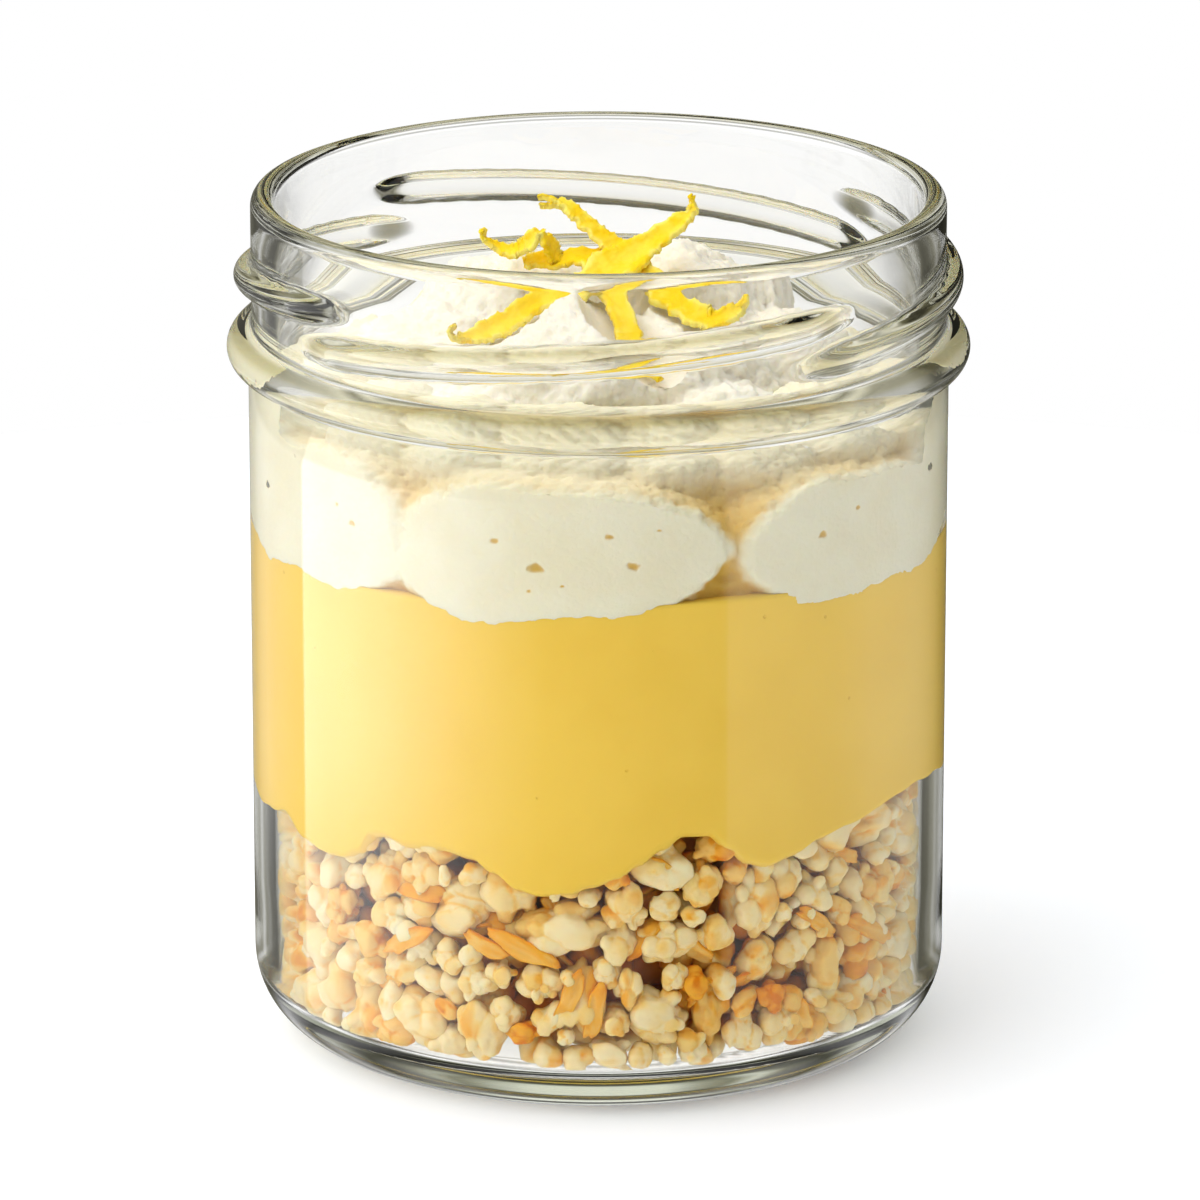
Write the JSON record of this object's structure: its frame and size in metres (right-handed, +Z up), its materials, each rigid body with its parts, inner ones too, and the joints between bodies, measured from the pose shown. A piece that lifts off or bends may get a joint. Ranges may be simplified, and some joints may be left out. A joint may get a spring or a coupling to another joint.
{
  "type": "lemon dessert cup",
  "caption": "Straight-sided clear glass jar with a screw finish, layered with puffed grain crunch, lemon curd, spooned whipped cream and strips of lemon zest.",
  "frame": {"origin": "middle of the jar's base, on the plane of its bearing ring", "axes": "+Z up along the jar's axis; -Y is the side shown in front; +X is to the right of it"},
  "size_m": [0.0836, 0.0836, 0.0971],
  "materials": {
    "glass": "clear flint glass with a faint olive tint in its thick parts, polished",
    "crunch": "dry puffed grains, ivory with toasted tan flakes",
    "curd": "smooth wet lemon curd, pale warm yellow",
    "cream": "whipped cream cheese, soft satin, slightly curdled where it is not pressed on the glass",
    "zest": "fresh lemon zest, moist and finely pored"
  },
  "bodies": {
    "root": {"glass_jar": "glass", "puffed_grain_crunch": "crunch", "lemon_curd": "curd", "cream_dollop_1": "cream", "cream_dollop_2": "cream", "cream_dollop_3": "cream", "cream_dollop_4": "cream", "cream_dollop_5": "cream", "cream_dollop_6": "cream", "cream_dollop_7": "cream", "cream_mound": "cream", "zest_strip_1": "zest", "zest_strip_2": "zest", "zest_strip_3": "zest", "zest_strip_4": "zest"}
  },
  "joints": []
}
